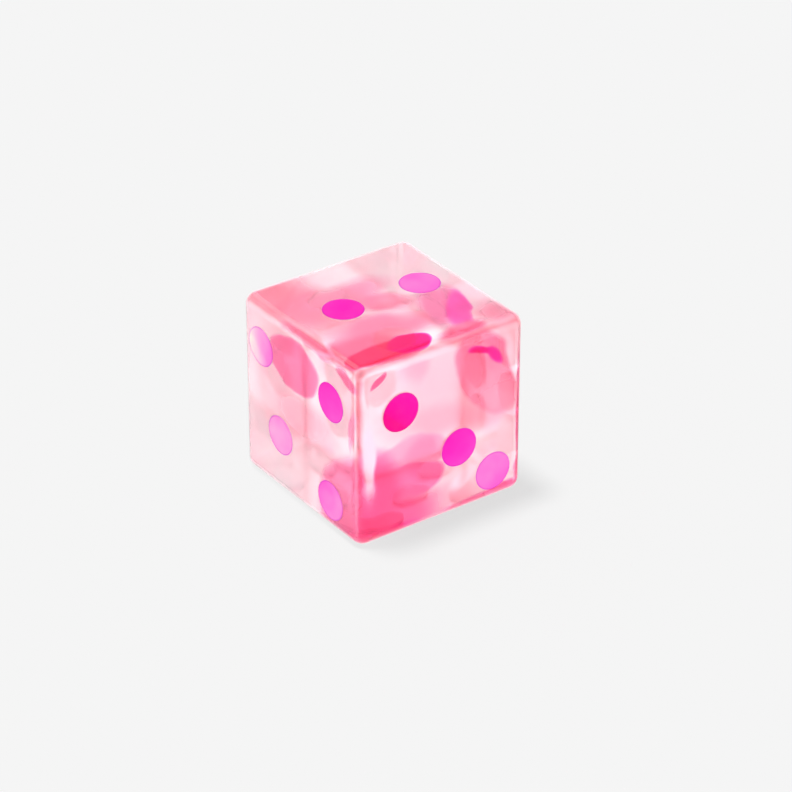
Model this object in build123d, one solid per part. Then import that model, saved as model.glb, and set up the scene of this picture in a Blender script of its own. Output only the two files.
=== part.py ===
from build123d import *

import os

# A six-sided die: a block of clear tinted plastic with 21 round inlays, each set flush into its own
# flat-bottomed recess. The origin is the block's centre. +Z points out of the face with two pips,
# and -Y out of the face with three. Lengths are in millimetres.

# Driving dimensions
SIDE = 19.05  # three quarters of an inch, the usual size of a casino die
EDGE_RADIUS = 0.065 * SIDE  # rounding of all twelve edges and eight corners
PIP_DIAMETER = 4.0
PIP_DEPTH = 0.43  # seventeen thousandths of an inch
PIP_FLOOR_RADIUS = 0.12  # rounding round the floor of each recess
PITCH = 0.25 * SIDE  # from a face's centre line to a regular row of pips

HALF = SIDE / 2

# Each face's outward normal and its rightward direction, as seen by someone looking at that face
FACES = {
    "two": ((0, 0, 1), (1, 0, 0)),
    "three": ((0, -1, 0), (1, 0, 0)),
    "four": ((-1, 0, 0), (0, -1, 0)),
    "six": ((1, 0, 0), (0, 1, 0)),
    "one": ((0, 1, 0), (-1, 0, 0)),
    "five": ((0, 0, -1), (1, 0, 0)),
}

# Where each pip's centre lies, rightward and upward from its face's centre. The two, three and four
# are set unevenly, and the other faces have the regular layout.
PIP_PLACES = {
    "two": {
        "left": (-0.20 * SIDE, 0.05 * SIDE),
        "right": (0.26 * SIDE, 0.05 * SIDE),
    },
    "three": {
        "upper_left": (-0.25 * SIDE, 0.20 * SIDE),
        "middle": (0.10 * SIDE, -0.12 * SIDE),
        "lower_right": (0.31 * SIDE, -0.33 * SIDE),
    },
    "four": {
        "upper_left": (-0.33 * SIDE, 0.26 * SIDE),
        "upper_right": (0.27 * SIDE, 0.23 * SIDE),
        "lower_left": (-0.17 * SIDE, -0.17 * SIDE),
        "lower_right": (0.26 * SIDE, -0.33 * SIDE),
    },
    "five": {
        "upper_left": (-PITCH, PITCH),
        "upper_right": (PITCH, PITCH),
        "middle": (0, 0),
        "lower_left": (-PITCH, -PITCH),
        "lower_right": (PITCH, -PITCH),
    },
    "six": {
        "upper_left": (-PITCH, PITCH),
        "middle_left": (-PITCH, 0),
        "lower_left": (-PITCH, -PITCH),
        "upper_right": (PITCH, PITCH),
        "middle_right": (PITCH, 0),
        "lower_right": (PITCH, -PITCH),
    },
    "one": {
        "middle": (0, 0),
    },
}


def face_plane(face):
    """The plane of a face, with its x axis rightward and its z axis outward."""
    normal, rightward = FACES[face]
    return Plane(origin=Vector(normal) * HALF, x_dir=rightward, z_dir=normal)


def inlay():
    """One pip inlay, its outer end on the plane z = 0 and its floor edge rounded."""
    disc = Cylinder(PIP_DIAMETER / 2, PIP_DEPTH, align=(Align.CENTER, Align.CENTER, Align.MAX))
    floor_edge = disc.edges().filter_by(GeomType.CIRCLE).sort_by(Axis.Z)[0]
    return fillet(floor_edge, PIP_FLOOR_RADIUS)


def inlays():
    """Every inlay in its place, by node name."""
    placed = {}
    for face, places in PIP_PLACES.items():
        for place, (across, up) in places.items():
            placed[f"{face}_pip_{place}"] = face_plane(face) * Pos(across, up) * inlay()
    return placed


def block(pips):
    """The block, rounded all over, with a recess for each pip's inlay."""
    solid = Box(SIDE, SIDE, SIDE)
    solid = fillet(solid.edges(), EDGE_RADIUS)
    for pip in pips.values():
        solid = solid - pip
    return solid


def main():
    os.makedirs("parts", exist_ok=True)
    pips = inlays()
    export_step(block(pips), "parts/block.step")
    for name, pip in pips.items():
        export_step(pip, f"parts/{name}.step")


main()
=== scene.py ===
import math

import bmesh
import bpy
from mathutils import Matrix, Vector

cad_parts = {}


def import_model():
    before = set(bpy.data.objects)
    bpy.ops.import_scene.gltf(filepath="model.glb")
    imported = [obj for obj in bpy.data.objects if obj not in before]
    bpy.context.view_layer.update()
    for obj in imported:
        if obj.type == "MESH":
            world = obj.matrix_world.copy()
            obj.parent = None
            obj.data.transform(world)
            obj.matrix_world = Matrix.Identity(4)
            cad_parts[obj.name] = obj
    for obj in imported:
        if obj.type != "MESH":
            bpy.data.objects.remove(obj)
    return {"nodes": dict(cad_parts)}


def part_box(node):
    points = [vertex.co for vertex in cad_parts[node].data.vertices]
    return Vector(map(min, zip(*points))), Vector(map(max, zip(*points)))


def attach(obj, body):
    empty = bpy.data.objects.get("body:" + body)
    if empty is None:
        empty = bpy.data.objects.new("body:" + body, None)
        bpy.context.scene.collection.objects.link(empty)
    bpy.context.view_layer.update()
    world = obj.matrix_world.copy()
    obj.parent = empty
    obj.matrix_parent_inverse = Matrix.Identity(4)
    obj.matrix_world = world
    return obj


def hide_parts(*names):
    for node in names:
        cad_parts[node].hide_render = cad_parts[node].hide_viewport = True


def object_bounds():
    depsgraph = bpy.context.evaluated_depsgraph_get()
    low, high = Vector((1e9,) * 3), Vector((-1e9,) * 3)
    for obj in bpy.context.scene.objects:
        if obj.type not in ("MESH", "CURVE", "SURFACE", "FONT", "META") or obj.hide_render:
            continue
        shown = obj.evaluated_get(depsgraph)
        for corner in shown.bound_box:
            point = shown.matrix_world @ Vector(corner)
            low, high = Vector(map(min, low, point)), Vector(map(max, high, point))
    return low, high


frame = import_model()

# A translucent pale pink casino die, with refraction painted into its skin as clouds of deeper and paler
# pink, on a pale floor. Lengths are in metres.

MM = 0.001
CAD_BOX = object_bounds()
LOW, HIGH = CAD_BOX
CENTRE = (LOW + HIGH) / 2
SIDE = HIGH.x - LOW.x

# Camera: where it looks from, how far it stands and how the die sits in its picture
AZIMUTH = math.radians(-35.66)
ELEVATION = math.radians(30.58)
DISTANCE = 17 * SIDE
LENS_MM = 156
SENSOR_MM = 36
OFFSET_RIGHT = -0.065 * SIDE
OFFSET_UP = 0.03 * SIDE

BACK = Vector((
    math.sin(AZIMUTH) * math.cos(ELEVATION),
    -math.cos(AZIMUTH) * math.cos(ELEVATION),
    math.sin(ELEVATION),
))
RIGHT = Vector((math.cos(AZIMUTH), math.sin(AZIMUTH), 0))
UP = BACK.cross(RIGHT)

# Each face's outward normal and its rightward direction, as seen by someone looking at that face
FACES = {
    "two": (Vector((0, 0, 1)), Vector((1, 0, 0))),
    "three": (Vector((0, -1, 0)), Vector((1, 0, 0))),
    "four": (Vector((-1, 0, 0)), Vector((0, -1, 0))),
    "six": (Vector((1, 0, 0)), Vector((0, 1, 0))),
    "one": (Vector((0, 1, 0)), Vector((-1, 0, 0))),
    "five": (Vector((0, 0, -1)), Vector((1, 0, 0))),
}
# Distances from the centre, in sides, at which a face's share of the rounded edge starts and is full
SHARE_STARTS, SHARE_FULL = 0.462, 0.5

# Pip inlays
BOND = 0.012 * MM  # how far each reaches into the block's plastic, so that no air lies between them
RIM_CHAMFER = 0.02 * MM
DISH = 0.02 * MM
BASE_ROUNDING = 0.12 * MM
SEGMENTS = 96
DISH_RINGS = 12
ROUNDING_STEPS = 6

# The block's plastic
PLASTIC_IOR = 1.49
HAZE = 0.15
CLEARNESS = 0.65
TINT = (1.0, 0.50, 0.66, 1)
TINT_DENSITY = 0.2 / SIDE

# Polishing leaves each skin very slightly wavy. Heights of the waves, and how many there are to a side
BLOCK_WAVES = 0.05 * MM
BLOCK_WAVE_SCALE = 5.0
INLAY_WAVES = 0.006 * MM
INLAY_WAVE_SCALE = 14.0

# Noises that vary something over the surface. Each value goes from low to high as its noise goes from
# start to end, and scale is how many features there are to a side.
WISPS = {"scale": 2.6, "detail": 3.0, "start": 0.35, "end": 0.75, "low": 0.7, "high": 1.7}  # pale dye
DRIFT = {"scale": 2.3, "roughness": 0.45, "start": 0.50, "end": 0.60}  # clouds of the hidden faces
HAZE_SPREAD = {"scale": 6.0, "low": 0.85 * HAZE, "high": 1.15 * HAZE}  # roughness of the block
MOTTLE = {"scale": 5.0, "low": 0.86, "high": 1.14}  # painted reflection (lilac) of the inlays
POLISH = {"scale": 9.0, "detail": 3.0, "roughness": 0.6, "low": 0.14, "high": 0.26}  # and roughness
SWIRL_SCALE = 4.0
SWIRL_SPAN = 0.10  # width of the range of shifts the swirl gives the clouds' outlines, in sides

# Depth of the pink on each face where there is no cloud, and its hue. It differs by face as painted light and
# shade: the top and the left are painted paler and the front deeper than the hidden faces
FACE_DYE_AND_LIGHT = {"two": 0.03, "three": 0.42, "four": 0.25, "six": 0.32, "one": 0.32, "five": 0.32}
PALE_HUE = 0.82
PAINTED_EDGE_SHADE = 0.7  # how much deeper the pink is along the rounded edges, as painted shade

# Brightness of the surroundings: as they light matt surfaces, as the die's skin mirrors them, and as
# they show through its plastic
ROOM_LIGHT = 1.4
MIRRORED_LIGHT = 0.2
THROUGH_LIGHT = 2.0
HORIZON_LIGHT = 0.6  # how much brighter the mirrored surroundings are near the horizon
HORIZON_STARTS, HORIZON_FULL = 0.46, 0.30  # heights of a direction, up or down
BELOW_LIGHT = 0.5  # and how much brighter straight down, where the floor would be
BELOW_STARTS, BELOW_FULL = -0.62, -0.80

# The lamp lights only the floor, and the die's shadow falls in its light
LAMP_LIGHT = 6.0  # in the same terms as ROOM_LIGHT
LAMP_FROM = Vector((-0.12, 0.14, 1.0)).normalized()
LAMP_ANGLE = 12  # how wide it looks from the floor, in degrees
FLOOR_TONE = 0.913
FLOOR_REACH = 60 * SIDE
FLOOR_GAP = 0.002 * MM
# How much of the floor's light the die can block, and where this turns from the one to the other, in
# sides rightward of the die's centre
FLOOR_SHADED_LEFT, FLOOR_SHADED_RIGHT = 0.06, 0.23
SHADED_TURN_LEFT, SHADED_TURN_RIGHT = -0.5, 0.3

LIGHT_BOUNCES = 24

# Softboxes that only the die's skin mirrors: direction, brightness, and the cosines of the angles where
# each starts and is full. They draw the light lines along the near edges and round the outline.
SOFTBOXES = [
    ((-0.90, -0.14, -0.42), 0.6, 0.955, 0.985),
    ((0.50, -0.38, 0.78), 1.4, 0.955, 0.985),
    ((-0.12, 0.70, 0.70), 0.9, 0.965, 0.985),
    ((-0.69, 0.70, 0.0), 1.1, 0.965, 0.985),
    ((0.50, 0.70, -0.51), 0.35, 0.60, 0.90),
    ((0.72, -0.47, -0.51), 0.9, 0.975, 0.99),
]

# Painted refraction: clouds of dye on the skin that stand for the shade, the light and the hidden inlays
# seen through the plastic. The deep ones are painted shade and refracted inlays, and the shallow ones are
# painted light. They are in sides, each laid over those before it, so that a shallow one lightens a deep one.
# Each is an
# ellipse on a face: where its centre lies (rightward and upward from the face's centre), its two half sizes,
# how far the first is turned from rightward in degrees, how deep its dye is, its hue (the blue the dye takes
# up against the green), how soft its outline is and how much of it is left at the far end of its first half
# size.
PAINTED_REFRACTION_CLOUDS = [
    ("two", -0.36, 0.26, 0.17, 0.30, 0, 1.15, 0.75, 0.5, 1.0),
    ("two", -0.12, 0.17, 0.22, 0.09, 0, 1.0, 0.60, 0.6, 1.0),
    ("two", 0.00, 0.0, 0.15, 0.07, -36, 1.25, 0.64, 0.5, 1.0),
    ("two", -0.12, -0.19, 0.28, 0.11, -15, 1.25, 0.70, 0.5, 1.0),
    ("two", 0.215, -0.21, 0.19, 0.11, 65, 1.3, 0.50, 0.35, 1.0),
    ("two", 0.25, -0.29, 0.19, 0.06, 60, 2.5, 0.27, 0.22, 1.0),
    ("two", -0.33, -0.32, 0.21, 0.12, -14, 1.8, 0.70, 0.3, 1.0),
    ("two", 0.42, -0.40, 0.12, 0.09, 0, 1.0, 0.70, 0.6, 1.0),
    ("two", 0.15, -0.45, 0.12, 0.05, 0, 1.9, 0.62, 0.4, 1.0),
    ("two", -0.29, -0.405, 0.21, 0.085, -2, 4.2, 0.58, 0.15, 1.0),
    ("two", -0.125, -0.39, 0.12, 0.08, 4, 9.0, 0.22, 0.10, 1.0),
    ("four", 0.05, 0.02, 0.23, 0.11, 0, 0.75, 0.75, 0.6, 1.0),
    ("four", -0.20, -0.33, 0.36, 0.19, -5, 0.02, 0.66, 0.6, 1.0),
    ("four", -0.45, 0.0, 0.10, 0.45, 0, 0.05, 0.66, 0.6, 1.0),
    ("four", -0.04, 0.29, 0.205, 0.135, 180, 2.0, 0.53, 0.10, 0.75),
    ("four", 0.37, -0.26, 0.27, 0.15, 238, 1.7, 0.52, 0.22, 0.7),
    ("four", 0.40, -0.40, 0.18, 0.11, 20, 1.7, 0.55, 0.4, 1.0),
    ("four", 0.40, 0.42, 0.09, 0.035, -25, 1.8, 0.55, 0.3, 1.0),
    ("four", 0.08, 0.475, 0.20, 0.03, 0, 2.4, 0.60, 0.4, 1.0),
    ("four", 0.44, 0.15, 0.015, 0.11, 0, 1.0, 0.55, 0.4, 1.0),
    ("three", -0.34, 0.36, 0.15, 0.11, 0, 0.20, 0.76, 0.6, 1.0),
    ("three", 0.24, -0.04, 0.15, 0.13, 0, 0.05, 0.76, 0.6, 1.0),
    ("three", 0.0, 0.30, 0.22, 0.17, 0, 0.78, 0.78, 0.7, 1.0),
    ("three", 0.0, 0.07, 0.30, 0.09, -12, 1.1, 0.76, 0.7, 1.0),
    ("three", 0.28, 0.25, 0.28, 0.16, -62, 2.0, 0.66, 0.10, 0.45),
    ("three", 0.23, 0.39, 0.07, 0.018, -20, 10.0, 0.22, 0.3, 1.0),
    ("three", 0.31, 0.34, 0.06, 0.028, -50, 7.0, 0.24, 0.4, 1.0),
    ("three", 0.435, 0.26, 0.16, 0.03, -73, 0.2, 0.70, 0.5, 1.0),
    ("three", -0.37, 0.41, 0.055, 0.02, 38, 2.2, 0.52, 0.2, 1.0),
    ("three", -0.19, -0.07, 0.21, 0.11, -4, 1.25, 0.60, 0.12, 1.0),
    ("three", -0.08, -0.42, 0.26, 0.11, 3, 1.8, 0.72, 0.5, 0.30),
    ("three", -0.34, -0.42, 0.26, 0.15, 0, 3.0, 0.52, 0.5, 1.0),
    ("three", -0.20, -0.20, 0.20, 0.10, -12, 2.2, 0.50, 0.12, 1.0),
    ("three", -0.42, -0.20, 0.16, 0.20, 0, 3.5, 0.51, 0.4, 1.0),
    ("three", 0.29, -0.468, 0.27, 0.038, 2, 3.0, 0.50, 0.4, 1.0),
    ("three", -0.27, -0.465, 0.11, 0.03, 0, 5.0, 0.36, 0.4, 1.0),
    ("three", -0.44, -0.02, 0.04, 0.21, 0, 0.42, 0.58, 0.4, 1.0),
    ("three", 0.13, -0.30, 0.08, 0.035, 35, 0.25, 0.60, 0.5, 1.0),
    ("three", 0.48, -0.10, 0.03, 0.36, 0, 3.4, 0.52, 0.4, 1.0),
]
# The faces that are clouded by noise alone, and the depth and hue of their clouds
HIDDEN_FACES = ("six", "one", "five")
HIDDEN_DEPTH, HIDDEN_HUE = 1.5, 0.6

# Painted reflection: how far each inlay's magenta is washed to lilac, as if by the light it mirrors, from 0
# to 1: at its middle, and how much more at its right-hand end and at its top. Above 1 it washes towards
# white.
REFLECTION_LILAC = {
    "three_pip_upper_left": (0.02, 0.03, 0.03),
    "three_pip_middle": (0.32, 0.06, -0.10),
    "three_pip_lower_right": (0.76, 0.0, 0.08),
    "two_pip_left": (0.24, 0.0, 0.02),
    "two_pip_right": (0.70, 0.0, 0.08),
    "four_pip_upper_left": (1.15, -0.55, 0.0),
    "four_pip_upper_right": (0.45, 0.10, -0.12),
    "four_pip_lower_left": (0.92, -0.05, 0.0),
    "four_pip_lower_right": (0.74, 0.10, -0.05),
}
# The same painted reflection for the inlays not listed
REFLECTION_LILAC_ELSEWHERE = (0.85, 0.05, 0.05)

# Inlay colours: the magenta, which has no green, what the painted reflection's turn to lilac adds to its
# green and blue, and the powers by which each of these grows
MAGENTA_RED, MAGENTA_BLUE = 0.80, 0.20
LILAC_GREEN, LILAC_GREEN_POWER = 0.26, 2.2
LILAC_BLUE, LILAC_BLUE_POWER = 0.35, 0.42
RIM_STARTS, RIM_FULL = 0.90, 0.99  # the darker rim, in radii
RIM_LESS_LILAC, RIM_LESS_RED = 0.35, 0.22
BACKING = (1.0, 0.93, 0.95, 1)  # the pale bonded side of an inlay, seen through the plastic
INLAY_SPECULAR = 0.2


class Nodes:
    """Adds nodes to one tree."""

    def __init__(self, tree):
        self.tree = tree

    def add(self, kind, inputs=None, **settings):
        """Adds a node with its settings, and gives its inputs values or other nodes' outputs."""
        node = self.tree.nodes.new(kind)
        for name, value in settings.items():
            setattr(node, name, value)
        for name, value in (inputs or {}).items():
            if isinstance(value, bpy.types.NodeSocket):
                self.tree.links.new(value, node.inputs[name])
            else:
                node.inputs[name].default_value = value
        return node

    def math(self, operation, a, b=0.0, clamp=False):
        return self.add("ShaderNodeMath", {0: a, 1: b}, operation=operation, use_clamp=clamp).outputs[0]

    def vector(self, operation, a, b=(0, 0, 0)):
        node = self.add("ShaderNodeVectorMath", {0: a, 1: b}, operation=operation)
        return node.outputs["Value" if operation in ("LENGTH", "DOT_PRODUCT") else "Vector"]

    def parts(self, vector):
        """A vector's x, y and z."""
        return self.add("ShaderNodeSeparateXYZ", {0: vector}).outputs

    def ramp(self, value, start, end, low=0.0, high=1.0):
        """A smooth step from low to high as value goes from start to end."""
        inputs = dict(enumerate((value, start, end, low, high)))
        return self.add("ShaderNodeMapRange", inputs, interpolation_type="SMOOTHSTEP").outputs[0]

    def noise(self, vector, scale, detail=2.0, roughness=0.5):
        inputs = {"Vector": vector, "Scale": scale, "Detail": detail, "Roughness": roughness}
        return self.add("ShaderNodeTexNoise", inputs).outputs

    def varied(self, vector, scale, start=0.3, end=0.7, low=0.0, high=1.0, **noise):
        """A value that a noise varies from low to high."""
        return self.ramp(self.noise(vector, scale, **noise)[0], start, end, low, high)

    def attribute(self, name):
        return self.add("ShaderNodeAttribute", attribute_name=name).outputs["Fac"]

    def place(self):
        """Where a point of the surface lies, in sides from the centre."""
        here = self.add("ShaderNodeTexCoord").outputs["Object"]
        return self.vector("MULTIPLY", here, (1 / SIDE,) * 3)


def new_material(name):
    """An empty node material, and the means to add to it."""
    material = bpy.data.materials.new(name)
    material.use_nodes = True
    material.node_tree.nodes.clear()
    return material, Nodes(material.node_tree)


def wavy_normal(nodes, place, scale, height):
    """The normal of a polished skin that isn't quite flat."""
    inputs = {"Strength": 1, "Distance": height, "Height": nodes.noise(place, scale)[0]}
    return nodes.add("ShaderNodeBump", inputs).outputs[0]


def surroundings_light(nodes, path):
    """Brightness of the surroundings, which differs for rays that come through the plastic."""
    extra = nodes.math("MULTIPLY", path["Is Transmission Ray"], THROUGH_LIGHT - ROOM_LIGHT)
    return nodes.math("ADD", extra, ROOM_LIGHT)


def face_matrix(face):
    """Turns a face's rightward, upward and outward directions into the frame's."""
    normal, rightward = FACES[face]
    return Matrix((rightward, normal.cross(rightward), normal)).transposed()


def face_share(nodes, place, face):
    """How much of a place on the surface belongs to a face, from 0 to 1 across the rounded edge."""
    out = nodes.vector("DOT_PRODUCT", place, FACES[face][0])
    return nodes.ramp(out, SHARE_STARTS, SHARE_FULL)


def painted_patch(nodes, place, share, face, across, up, length, width, turn, softness, far):
    """How much one patch of painted refraction covers a place given in sides from the centre."""
    basis = face_matrix(face)
    inputs = {
        "Vector": place,
        "Location": basis @ Vector((across, up, 0.5)),
        "Rotation": (basis @ Matrix.Rotation(math.radians(turn), 3, "Z")).to_euler(),
        "Scale": (length, width, 1),
    }
    inside = nodes.add("ShaderNodeMapping", inputs, vector_type="TEXTURE").outputs[0]
    distance = nodes.vector("LENGTH", inside)
    amount = nodes.math("MULTIPLY", share, nodes.ramp(distance, 1 + softness, 1 - softness))
    if far < 1:
        amount = nodes.math("MULTIPLY", amount, nodes.ramp(nodes.parts(inside)[0], -1, 1, 1.0, far))
    return amount


def pale_dye_and_face_light(nodes, place, shares):
    """The dye where there is no cloud, with each face's painted light and painted shade along the edges: what
    it takes up of green, of blue and of nothing.
    """
    pale = 0.0
    flat = 0.0
    # Each face's depth of pink carries its painted light and shade
    for face, share in shares.items():
        pale = nodes.math("ADD", nodes.math("MULTIPLY", share, FACE_DYE_AND_LIGHT[face]), pale)
        flat = nodes.math("ADD", nodes.math("MULTIPLY", share, share), flat)
    # Deeper pink along the rounded edges, as painted shade
    edge = nodes.math("MULTIPLY", nodes.math("SUBTRACT", 1.0, flat), 2.0, clamp=True)
    pale = nodes.math("ADD", nodes.math("MULTIPLY", edge, PAINTED_EDGE_SHADE), pale)
    green = nodes.math("MULTIPLY", nodes.varied(place, **WISPS), pale)
    blue = nodes.math("MULTIPLY", green, PALE_HUE)
    return nodes.add("ShaderNodeCombineXYZ", {1: green, 2: blue}).outputs[0]


def plastic_colour(nodes, place):
    """The pale dye with its painted face light, then the noise clouds and the painted refraction, each laid
    over those before it, as a colour.
    """
    swirl = nodes.vector("SUBTRACT", nodes.noise(place, SWIRL_SCALE)["Color"], (0.5,) * 3)
    swirled = nodes.vector("ADD", place, nodes.vector("MULTIPLY", swirl, (SWIRL_SPAN,) * 3))
    shares = {face: face_share(nodes, place, face) for face in FACES}
    dye_and_painted_light = pale_dye_and_face_light(nodes, swirled, shares)
    hidden = 0.0
    for face in HIDDEN_FACES:
        hidden = nodes.math("ADD", shares[face], hidden)
    layers = [(nodes.math("MULTIPLY", nodes.varied(place, **DRIFT), hidden), HIDDEN_DEPTH, HIDDEN_HUE)]
    # The listed patches are painted refraction: shade, light and hidden inlays seen through the plastic
    for face, across, up, length, width, turn, depth, hue, softness, far in PAINTED_REFRACTION_CLOUDS:
        ellipse = (face, across, up, length, width, turn, softness, far)
        layers.append((painted_patch(nodes, swirled, shares[face], *ellipse), depth, hue))
    for cover, depth, hue in layers:
        inputs = {"Factor": cover, 4: dye_and_painted_light, 5: (0, depth, depth * hue)}
        dye_and_painted_light = nodes.add("ShaderNodeMix", inputs, data_type="VECTOR").outputs[1]
    left = [nodes.math("EXPONENT", nodes.math("MULTIPLY", part, -1.0)) for part in nodes.parts(dye_and_painted_light)[1:]]
    return nodes.add("ShaderNodeCombineColor", {0: 1, 1: left[0], 2: left[1]}).outputs[0]


def plastic_material():
    """Hazy translucent plastic under a polished skin, pale pink, with refraction painted into it as clouds of
    deeper and paler pink.
    """
    material, nodes = new_material("clear_tinted_plastic")
    place = nodes.place()
    waves = wavy_normal(nodes, place, BLOCK_WAVE_SCALE, BLOCK_WAVES)
    surface = nodes.add("ShaderNodeBsdfPrincipled", {
        "Base Color": plastic_colour(nodes, place),
        "Roughness": nodes.varied(place, **HAZE_SPREAD),
        "Normal": waves,
        "IOR": PLASTIC_IOR,
        "Transmission Weight": CLEARNESS,
        "Coat Weight": 1,
        "Coat Roughness": 0.0,
        "Coat IOR": PLASTIC_IOR,
        "Coat Normal": waves,
    })
    tint = nodes.add("ShaderNodeVolumeAbsorption", {"Color": TINT, "Density": TINT_DENSITY})
    nodes.add("ShaderNodeOutputMaterial", {"Surface": surface.outputs[0], "Volume": tint.outputs[0]})
    return material


def inlay_colour(nodes, place):
    """Magenta that painted reflection turns to lilac from pip to pip, with a darker rim, and a pale bonded
    side.
    """
    painted_reflection = nodes.math("MULTIPLY", nodes.attribute("reflection_lilac"), nodes.varied(place, **MOTTLE))
    painted_reflection = nodes.math("MAXIMUM", painted_reflection, 0.0)
    rim = nodes.ramp(nodes.attribute("rim"), RIM_STARTS, RIM_FULL)
    kept = nodes.math("SUBTRACT", 1.0, nodes.math("MULTIPLY", rim, RIM_LESS_LILAC))
    painted_reflection = nodes.math("MULTIPLY", painted_reflection, kept)
    red = nodes.math("SUBTRACT", MAGENTA_RED, nodes.math("MULTIPLY", rim, RIM_LESS_RED))
    green = nodes.math("MULTIPLY", nodes.math("POWER", painted_reflection, LILAC_GREEN_POWER), LILAC_GREEN)
    blue = nodes.math("MULTIPLY", nodes.math("POWER", painted_reflection, LILAC_BLUE_POWER), LILAC_BLUE)
    blue = nodes.math("ADD", blue, MAGENTA_BLUE)
    colour = nodes.add("ShaderNodeCombineColor", {0: red, 1: green, 2: blue}).outputs[0]
    inputs = {"Factor": nodes.attribute("backing"), 6: colour, 7: BACKING}
    return nodes.add("ShaderNodeMix", inputs, data_type="RGBA").outputs[2]


def inlay_material():
    """Opaque resin, ground flush and polished."""
    material, nodes = new_material("pip_inlay")
    place = nodes.place()
    surface = nodes.add("ShaderNodeBsdfPrincipled", {
        "Base Color": inlay_colour(nodes, place),
        "Roughness": nodes.varied(place, **POLISH),
        "Normal": wavy_normal(nodes, place, INLAY_WAVE_SCALE, INLAY_WAVES),
        "IOR": PLASTIC_IOR,
        "Specular IOR Level": INLAY_SPECULAR,
    })
    nodes.add("ShaderNodeOutputMaterial", {"Surface": surface.outputs[0]})
    return material


def inlay_frame(node):
    """The centre of a CAD inlay's outer end, its outward normal, its radius and its depth."""
    low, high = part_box(node)
    size = high - low
    axis = min(range(3), key=lambda i: size[i])
    middle = (low + high) / 2
    side = 1 if middle[axis] > CENTRE[axis] else -1
    normal = Vector((0, 0, 0))
    normal[axis] = side
    middle[axis] = high[axis] if side > 0 else low[axis]
    return middle, normal, size[(axis + 1) % 3] / 2, size[axis]


def inlay_profile(radius, depth):
    """Radius and height of the inlay's outline, from near the middle of its outer end to its floor's edge."""
    outer = radius + BOND
    base = -(depth + BOND)
    points = []
    for i in range(1, DISH_RINGS + 1):
        r = (radius - RIM_CHAMFER) * i / DISH_RINGS
        points.append((r, -DISH * (1 - (r / radius) ** 2)))
    points.append((outer, -RIM_CHAMFER))
    points.append((outer, -3 * RIM_CHAMFER))
    for i in range(ROUNDING_STEPS + 1):
        a = math.radians(90 * i / ROUNDING_STEPS)
        reach = outer - BASE_ROUNDING + BASE_ROUNDING * math.cos(a)
        points.append((reach, base + BASE_ROUNDING * (1 - math.sin(a))))
    return points


def inlay(node, material):
    """A dished, bonded inlay that stands for a CAD one."""
    place, normal, radius, depth = inlay_frame(node)
    bm = bmesh.new()
    rings = []
    for r, z in inlay_profile(radius, depth):
        angles = [2 * math.pi * k / SEGMENTS for k in range(SEGMENTS)]
        rings.append([bm.verts.new((r * math.cos(a), r * math.sin(a), z)) for a in angles])
    top = bm.verts.new((0, 0, -DISH))
    base = bm.verts.new((0, 0, -(depth + BOND)))
    for k in range(SEGMENTS):
        nxt = (k + 1) % SEGMENTS
        bm.faces.new((top, rings[0][k], rings[0][nxt]))
        bm.faces.new((base, rings[-1][nxt], rings[-1][k]))
        for inner, outer in zip(rings, rings[1:]):
            bm.faces.new((inner[k], outer[k], outer[nxt], inner[nxt]))
    for polygon in bm.faces:
        polygon.smooth = True
    face = min(FACES, key=lambda name: (FACES[name][0] - normal).length)
    # How far painted reflection washes each point of the inlay to lilac
    middle, across, up = REFLECTION_LILAC.get(node, REFLECTION_LILAC_ELSEWHERE)
    reflection_lilac = [middle + (across * v.co.x + up * v.co.y) / radius for v in bm.verts]
    rim = [math.hypot(v.co.x, v.co.y) / radius for v in bm.verts]
    backing = [float(v.co.z < -2 * RIM_CHAMFER or out > 1) for v, out in zip(bm.verts, rim)]
    bm.transform(Matrix.Translation(place) @ face_matrix(face).to_4x4())
    mesh = bpy.data.meshes.new(node + "_inlay")
    bm.to_mesh(mesh)
    bm.free()
    mesh.materials.append(material)
    for name, values in (("reflection_lilac", reflection_lilac), ("rim", rim), ("backing", backing)):
        mesh.attributes.new(name, "FLOAT", "POINT").data.foreach_set("value", values)
    piece = bpy.data.objects.new(node + "_inlay", mesh)
    bpy.context.scene.collection.objects.link(piece)
    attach(piece, "root")
    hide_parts(node)


def floor_material():
    """A pale floor, mostly evenly lit. Light that has met the die sees it all evenly lit."""
    material, nodes = new_material("floor")
    path = nodes.add("ShaderNodeLightPath").outputs
    tone = (FLOOR_TONE / (ROOM_LIGHT + LAMP_LIGHT),) * 3 + (1,)
    matt = nodes.add("ShaderNodeBsdfDiffuse", {"Color": tone}).outputs[0]
    even = nodes.add("ShaderNodeEmission", {"Strength": FLOOR_TONE}).outputs[0]
    lit = nodes.add("ShaderNodeEmission", {"Strength": surroundings_light(nodes, path)}).outputs[0]
    across = nodes.vector("DOT_PRODUCT", nodes.place(), RIGHT)
    turn = (SHADED_TURN_LEFT, SHADED_TURN_RIGHT)
    shaded = nodes.ramp(across, *turn, FLOOR_SHADED_LEFT, FLOOR_SHADED_RIGHT)
    seen = nodes.add("ShaderNodeMixShader", {0: shaded, 1: even, 2: matt}).outputs[0]
    mix = nodes.add("ShaderNodeMixShader", {0: path["Is Camera Ray"], 1: lit, 2: seen})
    nodes.add("ShaderNodeOutputMaterial", {"Surface": mix.outputs[0]})
    return material


def floor():
    """A wide floor just under the die."""
    height = LOW.z - FLOOR_GAP
    corners = [(x * FLOOR_REACH, y * FLOOR_REACH, height) for x, y in ((-1, -1), (1, -1), (1, 1), (-1, 1))]
    mesh = bpy.data.meshes.new("floor")
    mesh.from_pydata(corners, [], [(0, 1, 2, 3)])
    mesh.materials.append(floor_material())
    plane = bpy.data.objects.new("floor", mesh)
    bpy.context.scene.collection.objects.link(plane)
    plane.visible_glossy = False
    return plane


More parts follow.
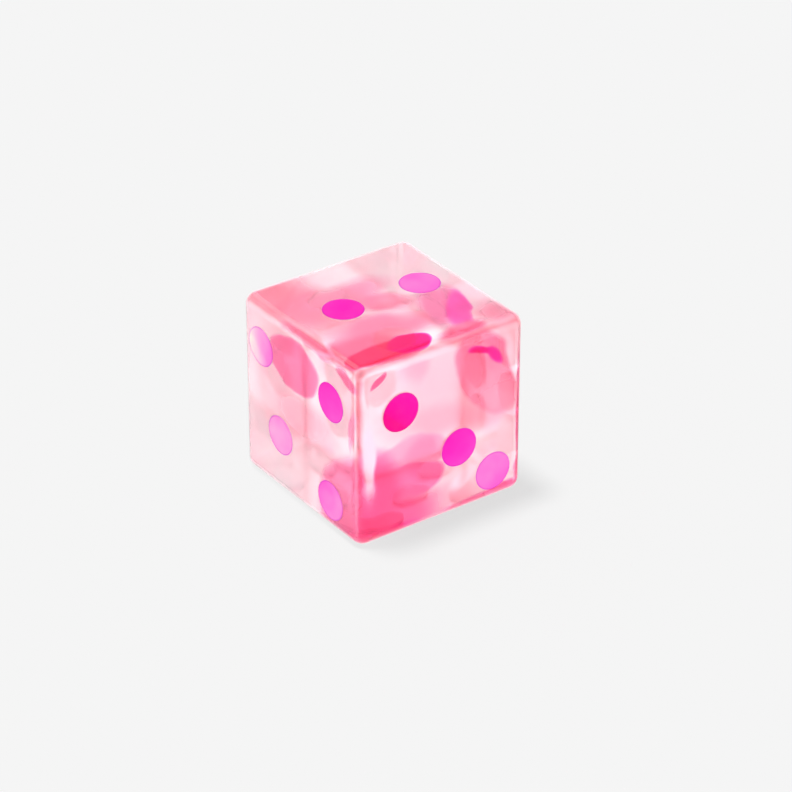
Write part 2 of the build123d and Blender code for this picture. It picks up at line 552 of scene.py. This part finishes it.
def lamp(plane):
    """A lamp that lights only the floor, where the die shades it."""
    light = bpy.data.lights.new("lamp", "SUN")
    light.energy = LAMP_LIGHT * math.pi / LAMP_FROM.z
    light.angle = math.radians(LAMP_ANGLE)
    obj = bpy.data.objects.new("lamp", light)
    obj.rotation_mode = "QUATERNION"
    obj.rotation_quaternion = LAMP_FROM.to_track_quat("Z", "Y")
    obj.visible_transmission = False
    obj.visible_glossy = False
    bpy.context.scene.collection.objects.link(obj)
    lit_alone = bpy.data.collections.new("lit_by_lamp")
    lit_alone.objects.link(plane)
    obj.light_linking.receiver_collection = lit_alone


def world():
    """Even soft light: dimmer, with softboxes, as the skin mirrors it, and brighter through the plastic."""
    studio = bpy.data.worlds.new("studio")
    bpy.context.scene.world = studio
    studio.use_nodes = True
    studio.node_tree.nodes.clear()
    nodes = Nodes(studio.node_tree)
    path = nodes.add("ShaderNodeLightPath").outputs
    direction = nodes.add("ShaderNodeTexCoord").outputs["Generated"]
    height = nodes.parts(direction)[2]
    below = nodes.ramp(height, BELOW_STARTS, BELOW_FULL, 0.0, BELOW_LIGHT)
    mirror = nodes.math("ADD", below, MIRRORED_LIGHT - ROOM_LIGHT)
    level = nodes.math("ABSOLUTE", height)
    horizon = nodes.ramp(level, HORIZON_STARTS, HORIZON_FULL, 0.0, HORIZON_LIGHT)
    mirror = nodes.math("ADD", horizon, mirror)
    for towards, brightness, start, full in SOFTBOXES:
        near = nodes.vector("DOT_PRODUCT", direction, Vector(towards).normalized())
        mirror = nodes.math("ADD", nodes.ramp(near, start, full, 0.0, brightness), mirror)
    through = path["Is Transmission Ray"]
    mirrored = nodes.math("SUBTRACT", path["Is Glossy Ray"], through, clamp=True)
    mirror = nodes.math("MULTIPLY", mirrored, mirror)
    strength = nodes.math("ADD", mirror, surroundings_light(nodes, path))
    background = nodes.add("ShaderNodeBackground", {"Color": (1, 1, 1, 1), "Strength": strength})
    nodes.add("ShaderNodeOutputWorld", {"Surface": background.outputs[0]})


def camera():
    """The photograph's view."""
    data = bpy.data.cameras.new("camera")
    data.sensor_width = SENSOR_MM
    data.lens = LENS_MM
    data.clip_start = SIDE
    data.clip_end = 1000 * SIDE
    obj = bpy.data.objects.new("camera", data)
    obj.rotation_mode = "QUATERNION"
    obj.location = CENTRE + BACK * DISTANCE - RIGHT * OFFSET_RIGHT - UP * OFFSET_UP
    obj.rotation_quaternion = (-BACK).to_track_quat("-Z", "Y")
    bpy.context.scene.collection.objects.link(obj)
    bpy.context.scene.camera = obj


def main():
    nodes = frame["nodes"]
    nodes["block"].data.materials.clear()
    nodes["block"].data.materials.append(plastic_material())
    material = inlay_material()
    for node in sorted(nodes):
        if node != "block":
            inlay(node, material)
    lamp(floor())
    world()
    camera()
    scene = bpy.context.scene
    scene.view_settings.view_transform = "Standard"
    scene.cycles.max_bounces = LIGHT_BOUNCES
    scene.cycles.transmission_bounces = LIGHT_BOUNCES
    scene.cycles.glossy_bounces = LIGHT_BOUNCES


main()
